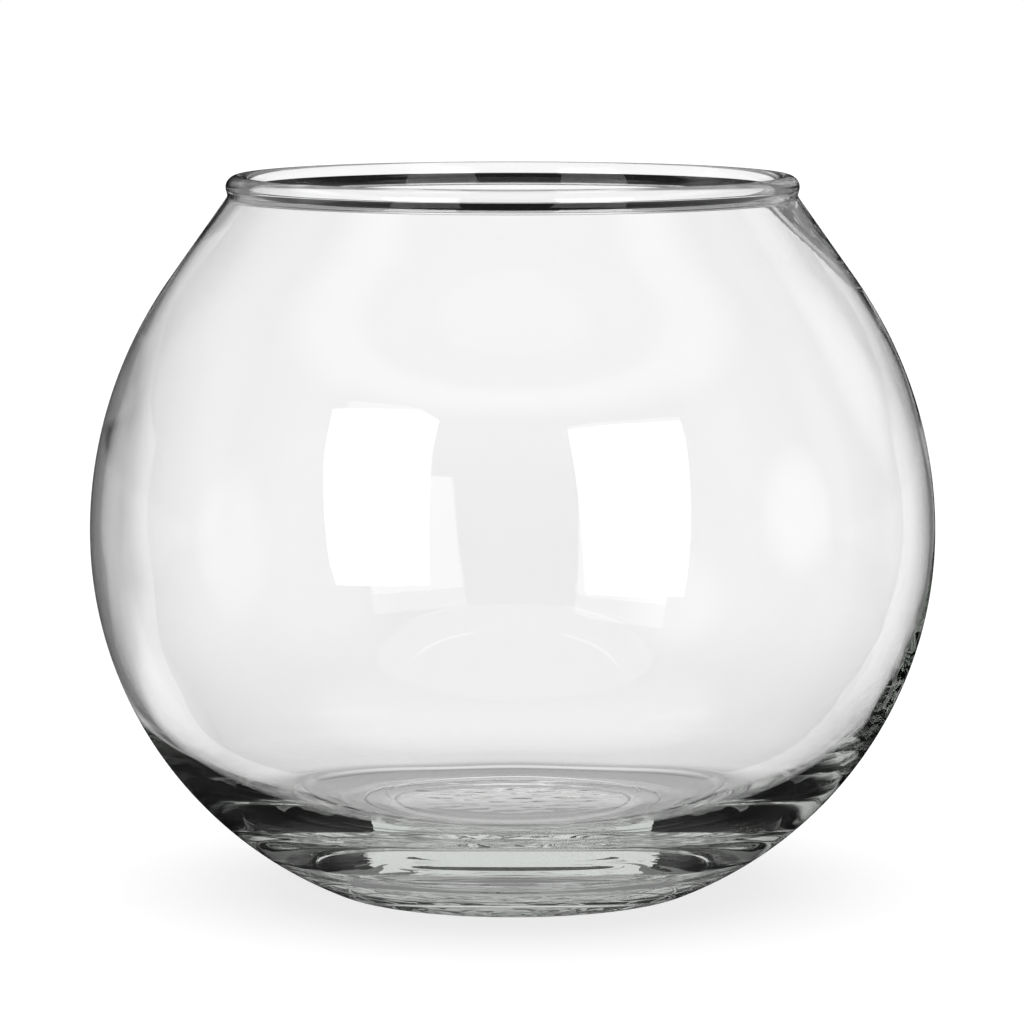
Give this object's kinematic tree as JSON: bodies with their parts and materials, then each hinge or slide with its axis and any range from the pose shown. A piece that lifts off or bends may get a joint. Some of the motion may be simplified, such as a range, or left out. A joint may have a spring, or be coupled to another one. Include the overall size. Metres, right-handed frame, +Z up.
{
  "type": "rose bowl vase",
  "caption": "Round clear glass rose bowl with a wide mouth, a beaded rim and a thick bottom, for holding flowers and water.",
  "frame": {"origin": "centre of the foot ring, on the surface that the bowl stands on", "axes": "+Z up along the bowl's axis; the bowl is round, so +X and +Y have no special direction"},
  "size_m": [0.152, 0.152, 0.1285],
  "materials": {
    "clear_glass": "clear, fire polished"
  },
  "bodies": {
    "root": {"glass_bowl": "clear_glass"}
  },
  "joints": []
}
